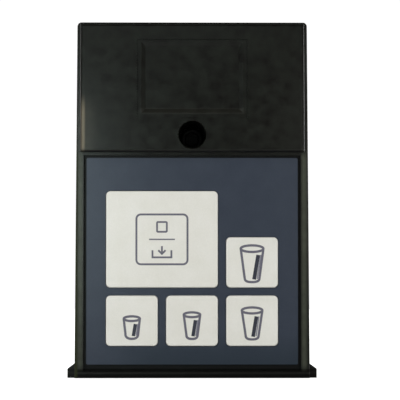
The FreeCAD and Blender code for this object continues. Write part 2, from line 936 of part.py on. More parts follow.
def board_standoffs():
    """Hexagonal spacers with a stud into the housing and a tapped hole for the board's screw."""
    spacers = []
    front = "keypad_board_front + board_thick"
    for number, (across, up) in enumerate(BOARD_HOLES, start=1):
        sizes = {"Circumradius": "spacer_radius", "Height": f"control_board_front - ({front})"}
        hexagon = primitive("Prism", f"spacer_{number}", sizes, across, front, up, TO_REAR)
        stud = rod(
            f"spacer_stud_{number}",
            across,
            f"{front} - board_screw_reach",
            up,
            "board_screw_radius",
            "board_screw_reach + 0.5",
        )
        tapped = rod(
            f"spacer_hole_{number}",
            across,
            "control_board_front - board_screw_reach + 1",
            up,
            "board_screw_radius",
            "board_screw_reach + 1",
        )
        spacers.append(cut(f"standoff_{number}", fuse(f"spacer_blank_{number}", [hexagon, stud]), tapped))
    return group("board_standoffs", spacers)


def board_screws():
    screws = []
    for number, (across, up) in enumerate(BOARD_HOLES + POSTS, start=1):
        head = rod(f"board_screw_head_{number}", across, BOARD_BACK, up, "board_screw_head_radius", "board_screw_head")
        shank = rod(
            f"board_screw_shank_{number}",
            across,
            "control_board_front - board_screw_reach + 1.4",
            up,
            "board_screw_radius",
            "board_screw_reach + board_thick - 1",
        )
        screws.append(fuse(f"board_screw_{number}", [head, shank]))
    return group("board_screws", screws)


def connector():
    """The harness header: a shroud with twelve square pins."""
    blank = block(
        "shell_blank",
        "-shell_width / 2",
        BOARD_BACK,
        "shell_centre - shell_height / 2",
        "shell_width",
        f"shell_end - ({BOARD_BACK})",
        "shell_height",
    )
    room = block(
        "shell_room",
        "-shell_width / 2 + shell_wall",
        f"{BOARD_BACK} + shell_floor",
        "shell_centre - shell_height / 2 + shell_wall",
        "shell_width - 2 * shell_wall",
        "shell_end",
        "shell_height - 2 * shell_wall",
    )
    pins = []
    for row in (-0.5, 0.5):
        for column in range(6):
            pins.append(
                block(
                    f"pin_{len(pins) + 1}",
                    f"{column - 2.5} * pin_pitch - pin_side / 2",
                    BOARD_BACK,
                    f"shell_centre + {row} * pin_pitch - pin_side / 2",
                    "pin_side",
                    f"pin_end - ({BOARD_BACK})",
                    "pin_side",
                )
            )
    pin_group = group("connector_pins", pins)
    cut("connector_shell", cut("shell_open", blank, room), pin_group)


def power_package(name, left, low):
    """A flat power package: a metal tab with its moulded body on it."""
    tab = block(f"{name}_tab", left, BOARD_BACK, low, "package_width", "tab_thick", "tab_height")
    moulding = block(f"{name}_moulding", left, BOARD_BACK, low, "package_width", "package_thick", "package_height")
    hole = rod(
        f"{name}_hole",
        f"{left} + package_width / 2",
        f"{BOARD_BACK} - 1",
        f"{low} + tab_hole_up",
        "tab_hole_radius",
        "tab_thick + 2",
    )
    return cut(f"{name}_package", fuse(f"{name}_blank", [tab, moulding]), hole)


def microcontroller():
    case = block(
        "chip_case",
        "chip_left",
        f"{BOARD_BACK} + 0.2",
        "chip_low",
        "chip_width",
        "chip_thick - 0.2",
        "chip_height",
    )
    pieces = [case]
    for side, left in (("left", "chip_left - lead_reach"), ("right", "chip_left + chip_width - 0.1")):
        for number in range(9):
            pieces.append(
                block(
                    f"chip_lead_{side}_{number}",
                    left,
                    BOARD_BACK,
                    f"chip_low + lead_first + {number} * lead_pitch",
                    "lead_reach + 0.1",
                    "lead_thick",
                    "lead_width",
                )
            )
    fuse("microcontroller", pieces)


def resonator():
    """A metal can with rounded ends."""
    can = block(
        "resonator_can",
        "resonator_left",
        BOARD_BACK,
        "resonator_low",
        "resonator_width",
        "resonator_thick",
        "resonator_height",
    )
    middle = "resonator_left + resonator_width / 2"
    ends = [
        rod(f"resonator_end_{number}", middle, BOARD_BACK, up, "resonator_width / 2", "resonator_thick")
        for number, up in enumerate(("resonator_low", "resonator_low + resonator_height"))
    ]
    fuse("resonator", [can] + ends)


def rear_components():
    group("solenoid_triacs", [power_package("triac_left", "-29", "34"), power_package("triac_right", "-16", "34")])
    group("voltage_regulator", [power_package("regulator", "17", "82")])
    microcontroller()
    resonator()
    diodes = [
        cross_rod(
            f"diode_{number}",
            "diode_left",
            f"{BOARD_BACK} + diode_radius",
            f"diode_low + {number} * diode_pitch",
            "diode_radius",
            "diode_length",
        )
        for number in range(4)
    ]
    group("rectifier_diodes", diodes)
    chips = [
        block(
            f"resistor_{column}_{number}",
            f"resistor_left + {column} * resistor_column",
            BOARD_BACK,
            f"resistor_low + {number} * resistor_row",
            "resistor_width",
            "resistor_thick",
            "resistor_height",
        )
        for column in range(2)
        for number in range(4)
    ]
    group("resistors", chips)


def front_components():
    """Tall components that stand in the room between the board and the raised block."""
    cans = [
        rod(
            f"capacitor_{number}",
            f"{side} * capacitor_across",
            "control_board_front - capacitor_length",
            "capacitor_up",
            "capacitor_radius",
            "capacitor_length",
        )
        for number, side in enumerate(SIDES)
    ]
    group("filter_capacitors", cans)
    disc_middle = "control_board_front - surge_stand_off"
    disc = cross_rod("surge_disc", "surge_left", disc_middle, "surge_up", "surge_radius", "surge_thick")
    leads = [
        rod(
            f"surge_lead_{number}",
            "surge_left + surge_thick / 2",
            "control_board_front - surge_lead_length",
            f"surge_up + {side} * surge_lead_pitch / 2",
            "surge_lead_radius",
            "surge_lead_length",
        )
        for number, side in enumerate(SIDES)
    ]
    fuse("surge_suppressor", [disc] + leads)
    block(
        "link_header",
        "-header_width / 2",
        "keypad_board_front + board_thick",
        "header_low",
        "header_width",
        "control_board_front - keypad_board_front - board_thick",
        "header_height",
    )


# ---------------------------------------------------------------- assembly

front_housing()
rear_cover()
cover_gasket()
rear_cover_screws()
retaining_screw()
well_pieces()
keypad_overlay()
for key_name, (key_across, key_up, key_width, key_height) in KEYS.items():
    key(key_name, key_across, key_up, key_width, key_height)
    dome(key_name, key_across, key_up)
switch_mat()
contact_pads()
board("keypad_board", "keypad_board_front", "keypad_board_high", BOARD_HOLES, with_well=False)
board("control_board", "control_board_front", "control_board_high", BOARD_HOLES + POSTS, with_well=True)
board_standoffs()
board_screws()
connector()
rear_components()
front_components()

doc.recompute()

NODES = [
    "front_housing",
    "rear_cover",
    "cover_gasket",
    "rear_cover_screws",
    "retaining_screw",
    "screw_washer",
    "captive_washer",
    "well_seal",
    "keypad_overlay",
    "switch_mat",
    "keypad_board",
    "contact_pads",
    "link_header",
    "control_board",
    "microcontroller",
    "solenoid_triacs",
    "filter_capacitors",
    "rectifier_diodes",
    "resonator",
    "voltage_regulator",
    "resistors",
    "surge_suppressor",
    "connector_shell",
    "connector_pins",
    "board_standoffs",
    "board_screws",
]
NODES += [f"key_{key_name}" for key_name in KEYS]
NODES += [f"dome_{key_name}" for key_name in KEYS]

for item in doc.Objects:
    if "Invalid" in item.State or "Error" in item.State:
        raise RuntimeError(f"{item.Label} failed: {item.State}")
for node in NODES:
    shape = doc.getObject(node).Shape
    if shape.isNull() or not shape.isValid():
        raise RuntimeError(f"{node} has no valid shape")

os.makedirs("parts", exist_ok=True)
for node in NODES:
    doc.getObject(node).Shape.exportStep(f"parts/{node}.step")
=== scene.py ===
import json
import math
import bpy
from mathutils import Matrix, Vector


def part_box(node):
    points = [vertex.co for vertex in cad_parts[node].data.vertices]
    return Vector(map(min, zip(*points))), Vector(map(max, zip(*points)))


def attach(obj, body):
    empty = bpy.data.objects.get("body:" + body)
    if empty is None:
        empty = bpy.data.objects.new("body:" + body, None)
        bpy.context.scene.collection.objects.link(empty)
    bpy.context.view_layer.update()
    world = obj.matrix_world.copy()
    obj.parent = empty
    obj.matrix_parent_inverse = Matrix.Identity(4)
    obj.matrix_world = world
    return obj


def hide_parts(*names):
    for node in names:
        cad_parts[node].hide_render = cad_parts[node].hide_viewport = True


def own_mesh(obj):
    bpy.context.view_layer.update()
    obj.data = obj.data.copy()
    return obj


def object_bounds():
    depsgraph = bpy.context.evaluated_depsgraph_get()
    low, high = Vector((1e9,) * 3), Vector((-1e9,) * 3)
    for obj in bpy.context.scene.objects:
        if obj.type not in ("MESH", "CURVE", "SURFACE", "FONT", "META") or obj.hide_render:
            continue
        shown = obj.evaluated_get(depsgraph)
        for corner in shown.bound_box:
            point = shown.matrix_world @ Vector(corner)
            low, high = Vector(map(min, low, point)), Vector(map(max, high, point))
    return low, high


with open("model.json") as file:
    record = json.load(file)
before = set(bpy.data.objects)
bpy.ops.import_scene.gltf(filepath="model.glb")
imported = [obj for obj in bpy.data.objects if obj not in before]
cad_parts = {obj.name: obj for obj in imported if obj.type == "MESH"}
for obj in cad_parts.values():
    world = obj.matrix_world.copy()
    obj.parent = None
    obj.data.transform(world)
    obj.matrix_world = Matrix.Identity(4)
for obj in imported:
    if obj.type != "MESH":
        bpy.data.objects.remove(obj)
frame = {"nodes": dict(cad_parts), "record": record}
cad_low, cad_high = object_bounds()

# Keypad module of a fountain soda dispensing valve. X is right, Y runs to the rear, Z is up.
MM = 0.001

NODES = frame["nodes"]
MOUNTS = {mount["name"]: mount for mount in frame["record"]["mounts"]}
KEY_NAMES = ("stop_fill", "small", "medium", "large", "extra_large")

# the plane of the housing's rim, behind the raised block's foremost edge
RIM_PLANE = cad_low.y + 2.4 * MM


# ------------------------------------------------------------------ materials

# most of a noise's values lie between these two, so ramps run from the one to the other
NOISE_LOW = 0.3
NOISE_HIGH = 0.7


def new_material(name):
    """An empty node material: returns it, its tree and its shader."""
    material = bpy.data.materials.new(name)
    material.use_nodes = True
    return material, material.node_tree, material.node_tree.nodes["Principled BSDF"]


def place_in(tree, stretch=(1, 1, 1)):
    """Object coordinates, stretched along the axes: every piece's object stands at the origin."""
    where = tree.nodes.new("ShaderNodeTexCoord")
    scaling = tree.nodes.new("ShaderNodeMapping")
    scaling.inputs["Scale"].default_value = stretch
    tree.links.new(where.outputs["Object"], scaling.inputs["Vector"])
    return scaling.outputs["Vector"]


def noise(tree, where, size, detail):
    """Noise with features of about a size in metres."""
    node = tree.nodes.new("ShaderNodeTexNoise")
    node.inputs["Scale"].default_value = 1 / size
    node.inputs["Detail"].default_value = detail
    node.inputs["Roughness"].default_value = 0.55
    tree.links.new(where, node.inputs["Vector"])
    return node.outputs["Fac"]


def blend_colours(tree, factor, first, second):
    """A colour that goes from the first to the second over a noise's middle range."""
    ramp = tree.nodes.new("ShaderNodeValToRGB")
    ramp.color_ramp.elements[0].position = NOISE_LOW
    ramp.color_ramp.elements[1].position = NOISE_HIGH
    ramp.color_ramp.elements[0].color = (*first, 1)
    ramp.color_ramp.elements[1].color = (*second, 1)
    tree.links.new(factor, ramp.inputs["Fac"])
    return ramp.outputs["Color"]


def multiply_colours(tree, first, second):
    """The product of two colour sockets."""
    mix = tree.nodes.new("ShaderNodeMix")
    mix.data_type = "RGBA"
    mix.blend_type = "MULTIPLY"
    mix.inputs["Factor"].default_value = 1
    tree.links.new(first, mix.inputs[6])
    tree.links.new(second, mix.inputs[7])
    return mix.outputs[2]


def spread(tree, factor, low, high):
    """Maps a noise's middle range onto low to high."""
    node = tree.nodes.new("ShaderNodeMapRange")
    node.inputs["From Min"].default_value = NOISE_LOW
    node.inputs["From Max"].default_value = NOISE_HIGH
    node.inputs["To Min"].default_value = low
    node.inputs["To Max"].default_value = high
    tree.links.new(factor, node.inputs["Value"])
    return node.outputs["Result"]


def bump(tree, shader, heights):
    """Stacks bumps on a shader: heights are (factor, depth in metres) pairs."""
    normal = None
    for factor, depth in heights:
        node = tree.nodes.new("ShaderNodeBump")
        node.inputs["Strength"].default_value = 1
        node.inputs["Distance"].default_value = depth
        tree.links.new(factor, node.inputs["Height"])
        if normal:
            tree.links.new(normal, node.inputs["Normal"])
        normal = node.outputs["Normal"]
    tree.links.new(normal, shader.inputs["Normal"])


def moulded(
    name,
    colour,
    second,
    patch=6 * MM,
    roughness=(0.4, 0.5),
    grain=0.25 * MM,
    grain_depth=0.01 * MM,
    specular=0.5,
    stretch=(1, 1, 1),
    metallic=0.0,
    speckle=0.9,
):
    """A moulded or finished surface: soft patches of two colours, uneven gloss and a fine grain."""
    material, tree, shader = new_material(name)
    where = place_in(tree, stretch)
    patches = noise(tree, where, patch, 4)
    fine = noise(tree, where, grain, 2)
    tint = blend_colours(tree, patches, colour, second)
    grains = blend_colours(tree, fine, (speckle, speckle, speckle), (1, 1, 1))
    tree.links.new(multiply_colours(tree, tint, grains), shader.inputs["Base Color"])
    tree.links.new(spread(tree, patches, *roughness), shader.inputs["Roughness"])
    shader.inputs["Specular IOR Level"].default_value = specular
    shader.inputs["Metallic"].default_value = metallic
    swell = noise(tree, where, 9 * grain, 2)
    bump(tree, shader, [(swell, 2 * grain_depth), (fine, grain_depth)])
    return material


def dress(piece, material):
    """Gives every face of a piece one material."""
    piece.data.materials.clear()
    piece.data.materials.append(material)
    for face in piece.data.polygons:
        face.material_index = 0


def math_node(tree, operation, first, second=None):
    """One operation on sockets or numbers."""
    node = tree.nodes.new("ShaderNodeMath")
    node.operation = operation
    for socket, source in zip(node.inputs, (first, second)):
        if isinstance(source, (int, float)):
            socket.default_value = source
        elif source is not None:
            tree.links.new(source, socket)
    return node.outputs[0]


def fade(tree, source, start, end):
    """A smooth step from 0 at the start to 1 at the end."""
    node = tree.nodes.new("ShaderNodeMapRange")
    node.interpolation_type = "SMOOTHSTEP"
    node.inputs["From Min"].default_value = start
    node.inputs["From Max"].default_value = end
    tree.links.new(source, node.inputs["Value"])
    return node.outputs["Result"]


def fade_round(tree, source, level, outer, inner):
    """1 within an inner distance of a level, and 0 beyond an outer one."""
    distance = math_node(tree, "ABSOLUTE", math_node(tree, "SUBTRACT", source, level))
    return fade(tree, distance, outer, inner)


def product(tree, *factors):
    """All the factors multiplied."""
    result = factors[0]
    for factor in factors[1:]:
        result = math_node(tree, "MULTIPLY", result, factor)
    return result


def tint_where(tree, shader, amount, colour, roughness=None):
    """Moves a shader's colour, and its roughness if one is given, by an amount from 0 to 1."""
    mix = tree.nodes.new("ShaderNodeMix")
    mix.data_type = "RGBA"
    tree.links.new(amount, mix.inputs["Factor"])
    tree.links.new(shader.inputs["Base Color"].links[0].from_socket, mix.inputs[6])
    mix.inputs[7].default_value = (*colour, 1)
    tree.links.new(mix.outputs[2], shader.inputs["Base Color"])
    if roughness is not None:
        dulling = tree.nodes.new("ShaderNodeMix")
        tree.links.new(amount, dulling.inputs["Factor"])
        tree.links.new(shader.inputs["Roughness"].links[0].from_socket, dulling.inputs[2])
        dulling.inputs[3].default_value = roughness
        tree.links.new(dulling.outputs[0], shader.inputs["Roughness"])


# painted light and shade on the housing
GAP_SHADE = (0.0002, 0.0003, 0.0005)
SHADED_FOOT = (0.0014, 0.0009, 0.0005)
SHADE_LINE = (0.0002, 0.0001, 0.0)
SLOPE_LIGHT = (0.011, 0.0112, 0.009)
RIM_HIGHLIGHT = (0.047, 0.052, 0.038)
CORNER_LIGHT = (0.013, 0.016, 0.004)
LIGHT_HAZE = (0.021, 0.021, 0.016)
HIGHLIGHT_STREAK = (0.12, 0.104, 0.072)


def paint_light_and_shade_on_housing(material):
    """Painted light and shade on the housing: lighter rims, painted highlights on the block's left edge and
    the recess slope, painted shade in the gap round the overlay and on a darker, browner foot.
    """
    tree = material.node_tree
    shader = tree.nodes["Principled BSDF"]
    where = place_in(tree)
    axes = tree.nodes.new("ShaderNodeSeparateXYZ")
    tree.links.new(where, axes.inputs["Vector"])
    right = axes.outputs["X"]
    depth = axes.outputs["Y"]
    up = axes.outputs["Z"]
    across = math_node(tree, "ABSOLUTE", right)
    left = math_node(tree, "MULTIPLY", right, -1)
    patches = spread(tree, noise(tree, where, 2.5 * MM, 3), 0.6, 1.0)

    pocket_floor = RIM_PLANE + 1.2 * MM
    pocket_side = 34.6 * MM
    block_low = 71.6 * MM
    front = fade(tree, depth, RIM_PLANE + 1.0 * MM, RIM_PLANE + 0.2 * MM)
    near_front = fade(tree, depth, RIM_PLANE + 3.5 * MM, RIM_PLANE + 2.5 * MM)

    # painted shade on the pocket's floor, in the gap round the overlay, made duller
    gap_shade = product(
        tree,
        near_front,
        fade(tree, across, pocket_side + 0.2 * MM, pocket_side - 0.2 * MM),
        fade(tree, depth, pocket_floor - 0.7 * MM, pocket_floor - 0.3 * MM),
        fade(tree, up, block_low, block_low - 0.5 * MM),
    )
    tint_where(tree, shader, gap_shade, GAP_SHADE, roughness=0.68)

    # painted shade: a darker, browner foot with two painted shade lines along it
    foot = product(tree, fade(tree, up, 3.2 * MM, 2.2 * MM), near_front)
    tint_where(tree, shader, foot, SHADED_FOOT)
    for level, reach in ((2.4 * MM, 0.8 * MM), (0.75 * MM, 0.9 * MM)):
        line = product(tree, fade_round(tree, up, level, reach, 0.3 * reach), near_front)
        tint_where(tree, shader, line, SHADE_LINE, roughness=0.95)

    # painted light on the lower, upward-facing slope of the label recess
    recess_foot = 84.6 * MM
    slope_light = product(
        tree,
        near_front,
        fade_round(tree, up, recess_foot, 1.2 * MM, 0.7 * MM),
        fade(tree, across, 17 * MM, 16 * MM),
        patches,
    )
    tint_where(tree, shader, slope_light, SLOPE_LIGHT)

    # painted highlight: the side rims painted lighter below the block, the left one less than the right
    rim_middle = 35.5 * MM
    rim = product(
        tree,
        fade_round(tree, across, rim_middle, 1.35 * MM, 0.1 * MM),
        front,
        fade(tree, up, block_low + 2 * MM, block_low - 2 * MM),
        fade(tree, up, 1.5 * MM, 5 * MM),
        fade(tree, right, -3 * rim_middle, 0),
        patches,
    )
    tint_where(tree, shader, rim, RIM_HIGHLIGHT)

    # painted light: the rounded corner outside the left rim painted lighter and made duller
    corner = product(
        tree,
        fade(tree, depth, RIM_PLANE + 1.6 * MM, RIM_PLANE + 0.8 * MM),
        fade(tree, left, 35.9 * MM, 36.7 * MM),
        fade(tree, up, block_low + 1 * MM, block_low - 1 * MM),
    )
    tint_where(tree, shader, corner, CORNER_LIGHT, roughness=0.75)

    # the block's lower left edge: a bright painted highlight streak in a wider painted haze of light
    edge_middle = 34.6 * MM
    highlight_height = product(
        tree,
        fade(tree, up, block_low - 0.5 * MM, block_low + 1.5 * MM),
        fade(tree, up, block_low + 19 * MM, block_low + 12 * MM),
        front,
    )
    light_haze = product(tree, fade_round(tree, left, edge_middle, 6 * MM, 0.3 * MM), highlight_height, patches)
    tint_where(tree, shader, light_haze, LIGHT_HAZE)
    highlight_streak = product(tree, fade_round(tree, left, edge_middle, 0.95 * MM, 0.1 * MM), highlight_height)
    tint_where(tree, shader, highlight_streak, HIGHLIGHT_STREAK)


def shade_overlay_foot(material):
    """Painted shade: the slate film is a little darker towards its foot, but not at its left end."""
    tree = material.node_tree
    axes = tree.nodes.new("ShaderNodeSeparateXYZ")
    tree.links.new(place_in(tree), axes.inputs["Vector"])
    low = fade(tree, axes.outputs["Z"], 16 * MM, 5 * MM)
    inward = fade(tree, axes.outputs["X"], -34 * MM, -10 * MM)
    foot = product(tree, low, inward)
    shaded_slate = (0.0195, 0.0285, 0.042)
    tint_where(tree, tree.nodes["Principled BSDF"], foot, shaded_slate)


HOUSING = moulded(
    "housing_black",
    (0.0008, 0.0004, 0.0001),
    (0.0048, 0.0062, 0.0041),
    patch=3.2 * MM,
    roughness=(0.33, 0.45),
    grain=0.28 * MM,
    grain_depth=0.008 * MM,
    specular=0.35,
)
# paints light and shade into the housing's colour
paint_light_and_shade_on_housing(HOUSING)
OVERLAY = moulded(
    "overlay_slate",
    (0.0292, 0.038, 0.0575),
    (0.0345, 0.044, 0.065),
    patch=5 * MM,
    roughness=(0.38, 0.44),
    grain=0.35 * MM,
    grain_depth=0.004 * MM,
    specular=0.35,
)
# paints shade at the overlay's foot
shade_overlay_foot(OVERLAY)
KEY = moulded(
    "key_ivory",
    (0.725, 0.72, 0.672),
    (0.765, 0.76, 0.725),
    patch=7 * MM,
    roughness=(0.38, 0.46),
    grain=0.4 * MM,
    grain_depth=0.003 * MM,
    speckle=0.96,
)
INK_LINE = moulded(
    "ink_slate",
    (0.115, 0.112, 0.15),
    (0.14, 0.136, 0.175),
    patch=1 * MM,
    roughness=(0.5, 0.6),
    grain=0.1 * MM,
    grain_depth=0.001 * MM,
)
INK_TONE = moulded(
    "ink_half_tone",
    (0.2, 0.2, 0.25),
    (0.25, 0.25, 0.3),
    patch=1 * MM,
    roughness=(0.5, 0.6),
    grain=0.1 * MM,
    grain_depth=0.001 * MM,
)
INK_DARK = moulded(
    "ink_navy",
    (0.026, 0.028, 0.045),
    (0.033, 0.035, 0.052),
    patch=1 * MM,
    roughness=(0.5, 0.6),
    grain=0.1 * MM,
    grain_depth=0.001 * MM,
)
GASKET = moulded("gasket_rubber", (0.01, 0.01, 0.01), (0.016, 0.016, 0.016), roughness=(0.7, 0.8))
SCREW = moulded(
    "screw_zinc",
    (0.46, 0.47, 0.48),
    (0.58, 0.58, 0.56),
    patch=1.5 * MM,
    roughness=(0.25, 0.4),
    grain=0.12 * MM,
    grain_depth=0.002 * MM,
    metallic=1.0,
)
DARK_SCREW = moulded(
    "screw_black_oxide",
    (0.012, 0.012, 0.013),
    (0.022, 0.022, 0.022),
    patch=1.5 * MM,
    roughness=(0.35, 0.5),
    grain=0.12 * MM,
    grain_depth=0.002 * MM,
    metallic=0.6,
)
SILICONE = moulded("silicone_grey", (0.5, 0.5, 0.48), (0.58, 0.58, 0.55), roughness=(0.5, 0.6))
NYLON = moulded("nylon_natural", (0.62, 0.6, 0.52), (0.7, 0.68, 0.6), patch=3 * MM, roughness=(0.35, 0.5))
BOARD = moulded("board_green", (0.01, 0.09, 0.035), (0.015, 0.13, 0.05), patch=4 * MM, roughness=(0.3, 0.4))
GOLD = moulded(
    "contact_gold",
    (0.8, 0.58, 0.24),
    (0.9, 0.68, 0.32),
    patch=1 * MM,
    roughness=(0.2, 0.3),
    grain=0.08 * MM,
    grain_depth=0.001 * MM,
    metallic=1.0,
)
EPOXY = moulded("component_epoxy", (0.012, 0.012, 0.012), (0.02, 0.02, 0.02), roughness=(0.5, 0.6))
SLEEVE = moulded("capacitor_sleeve", (0.01, 0.02, 0.07), (0.015, 0.03, 0.09), roughness=(0.3, 0.4))
CAN = moulded(
    "can_metal",
    (0.6, 0.6, 0.6),
    (0.7, 0.7, 0.7),
    patch=2 * MM,
    roughness=(0.3, 0.4),
    metallic=1.0,
    stretch=(1, 1, 6),
)
VARISTOR = moulded("varistor_blue", (0.01, 0.05, 0.25), (0.015, 0.07, 0.3), roughness=(0.3, 0.4))

FINISHES = {
    "front_housing": HOUSING,
    "rear_cover": HOUSING,
    "cover_gasket": GASKET,
    "well_seal": GASKET,
    "keypad_overlay": OVERLAY,
    "screw_washer": DARK_SCREW,
    "retaining_screw": DARK_SCREW,
    "rear_cover_screws": SCREW,
    "captive_washer": NYLON,
    "switch_mat": SILICONE,
    "keypad_board": BOARD,
    "control_board": BOARD,
    "contact_pads": GOLD,
    "connector_pins": GOLD,
    "link_header": EPOXY,
    "microcontroller": EPOXY,
    "solenoid_triacs": EPOXY,
    "rectifier_diodes": EPOXY,
    "voltage_regulator": EPOXY,
    "resistors": EPOXY,
    "filter_capacitors": SLEEVE,
    "resonator": CAN,
    "surge_suppressor": VARISTOR,
    "connector_shell": NYLON,
    "board_standoffs": SCREW,
    "board_screws": SCREW,
}
for key_name in KEY_NAMES:
    FINISHES[f"key_{key_name}"] = KEY
    FINISHES[f"dome_{key_name}"] = SILICONE
for node, finish in FINISHES.items():
    dress(NODES[node], finish)


# ------------------------------------------------------------------ printed legends

# a stroke's thickness, and how much thicker each further one is
INK_THICK = 0.02 * MM
INK_STEP = 0.004 * MM
LINE_WIDTH = 0.76 * MM
FRAME_LINE = 0.62 * MM
SYMBOL_LINE = 0.58 * MM
RULE_LINE = 0.42 * MM


def new_piece(name, points, faces):
    """A mesh object made of points and faces."""
    mesh = bpy.data.meshes.new(name)
    mesh.from_pydata(points, [], faces)
    mesh.validate()
    piece = bpy.data.objects.new(name, mesh)
    bpy.context.collection.objects.link(piece)
    return piece


def ribbon(path, width, closed=False):
    """The two sides of a stroke of a width along a path of (across, up) points."""
    sharpest = 0.5
    count = len(path)
    left = []
    right = []
    for index in range(count):
        here = Vector(path[index])
        if closed or 0 < index < count - 1:
            before = (here - Vector(path[index - 1])).normalized()
            after = (Vector(path[(index + 1) % count]) - here).normalized()
        elif index == 0:
            before = after = (Vector(path[1]) - here).normalized()
        else:
            before = after = (here - Vector(path[index - 1])).normalized()
        along = (before + after).normalized()
        normal = Vector((-along.y, along.x))
        reach = width / 2 / max(sharpest, normal.dot(Vector((-before.y, before.x))))
        left.append(here + normal * reach)
        right.append(here - normal * reach)
    return left, right


class Ink:
    """Flat printed shapes on the front of one key, gathered into one thin mesh."""

    def __init__(self, key_name):
        self.key_name = key_name
        low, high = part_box(f"key_{key_name}")
        flange = 0.8 * MM
        self.centre = Vector(((low[0] + high[0]) / 2, (low[2] + high[2]) / 2))
        self.half = Vector(((high[0] - low[0]) / 2 - flange, (high[2] - low[2]) / 2 - flange))
        self.front = low[1]
        self.thick = INK_THICK
        self.points = []
        self.faces = []

    def stroke(self, path, width=LINE_WIDTH, closed=False):
        """A flat stroke along a path, a shade thicker than the one before, so that crossings stay clean."""
        left, right = ribbon(path, width, closed)
        count = len(path)
        first = len(self.points)
        for depth in (-self.thick, self.thick):
            for across, up in left + right:
                self.points.append((across, self.front + depth, up))
        self.thick += INK_STEP
        base = 2 * count
        for i in range(count if closed else count - 1):
            j = (i + 1) % count
            corners = [first + i, first + j, first + count + j, first + count + i]
            below = [corner + base for corner in corners]
            self.faces.append(corners)
            self.faces.append(below[::-1])
            self.faces.append([corners[1], corners[0], below[0], below[1]])
            self.faces.append([corners[3], corners[2], below[2], below[3]])
        if not closed:
            for i, j in ((first, first + count), (first + 2 * count - 1, first + count - 1)):
                self.faces.append([i, j, j + base, i + base])

    def finish(self, suffix, material):
        """Makes the gathered shapes one piece, which rides its key."""
        piece = new_piece(f"legend_{self.key_name}_{suffix}", self.points, self.faces)
        dress(piece, material)
        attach(piece, f"{self.key_name}_key")


def arc(centre, radius_across, radius_up, start, end, steps=16):
    """Points along part of an ellipse, angles in degrees anticlockwise from +X."""
    angles = [math.radians(start + (end - start) * i / steps) for i in range(steps + 1)]
    return [(centre[0] + radius_across * math.cos(a), centre[1] + radius_up * math.sin(a)) for a in angles]


def rounded_outline(centre, half_width, half_height, radius):
    """A closed path round a rectangle with rounded corners."""
    path = []
    for turn, (side, level) in enumerate([(1, 1), (-1, 1), (-1, -1), (1, -1)]):
        corner = (centre[0] + side * (half_width - radius), centre[1] + level * (half_height - radius))
        path += arc(corner, radius, radius, 90 * turn, 90 * turn + 90, 6)
    return path


# the four drink sizes in millimetres: the foot's curve is its depth, the foot's level is above the key's
# lower edge, and the bar's two numbers are how far its top and its foot stand right of the middle
TUMBLERS = {
    "small": {
        "rim": 5.1, "height": 7.1, "foot": 4.0, "curve": 1.45, "level": 2.3, "bar": (1.15, 0.5)
    },
    "medium": {
        "rim": 5.2, "height": 8.4, "foot": 3.5, "curve": 1.1, "level": 2.25, "bar": (1.1, 0.33)
    },
    "large": {
        "rim": 6.5, "height": 10.1, "foot": 4.05, "curve": 1.05, "level": 2.1, "bar": (1.35, 0.3)
    },
    "extra_large": {
        "rim": 7.2, "height": 11.65, "foot": 4.65, "curve": 1.15, "level": 1.75, "bar": (1.95, 0.65)
    },
}


def rounded_foot(centre, half_width, depth, steps=18):
    """The lower half of a squared-off ellipse, from its left end to its right."""
    path = []
    for step in range(steps + 1):
        angle = math.pi * (1 + step / steps)
        across = math.copysign(abs(math.cos(angle)) ** 0.8, math.cos(angle))
        up = abs(math.sin(angle)) ** 0.9
        path.append((centre[0] + half_width * across, centre[1] - depth * up))
    return path


def tumbler(key_name, sizes):
    """A drinking tumbler in outline, with a dark bar and a half-tone beside it for its shaded side."""
    ink = Ink(key_name)
    middle = ink.centre.x
    foot = ink.centre.y - ink.half.y + sizes["level"] * MM
    rim_half = sizes["rim"] * MM / 2
    foot_half = sizes["foot"] * MM / 2
    curve = sizes["curve"] * MM
    slant = 0.29
    rim_rise = slant * rim_half
    rim_level = foot + sizes["height"] * MM - rim_rise
    ink.stroke(arc((middle, rim_level), rim_half, rim_rise, 0, 360, 40)[:-1], closed=True)
    side = [(middle - rim_half, rim_level)]
    side += rounded_foot((middle, foot + curve), foot_half, curve)
    side.append((middle + rim_half, rim_level))
    ink.stroke(side)
    ink.finish("tumbler", INK_LINE)

    bar_width = 0.78 * MM + 0.12 * rim_half
    bar_top, bar_foot = sizes["bar"]
    gap_over_bar = 0.95 * MM
    gap_under_bar = 0.85 * MM
    top = Vector((middle + bar_top * MM, rim_level - rim_rise - gap_over_bar))
    bottom = Vector((middle + bar_foot * MM, foot + gap_under_bar))
    shade = Ink(key_name)
    shade.stroke([top, bottom], bar_width)
    shade.finish("shade", INK_DARK)

    tone = Ink(key_name)
    tone_width = 0.42 * MM
    beside = Vector((bar_width / 2 + 0.22 * MM, 0))
    shorter = Vector((0.15 * MM, 0.15 * MM))
    tone.stroke([top + beside, bottom + beside + shorter], tone_width)
    tone.finish("tone", INK_TONE)


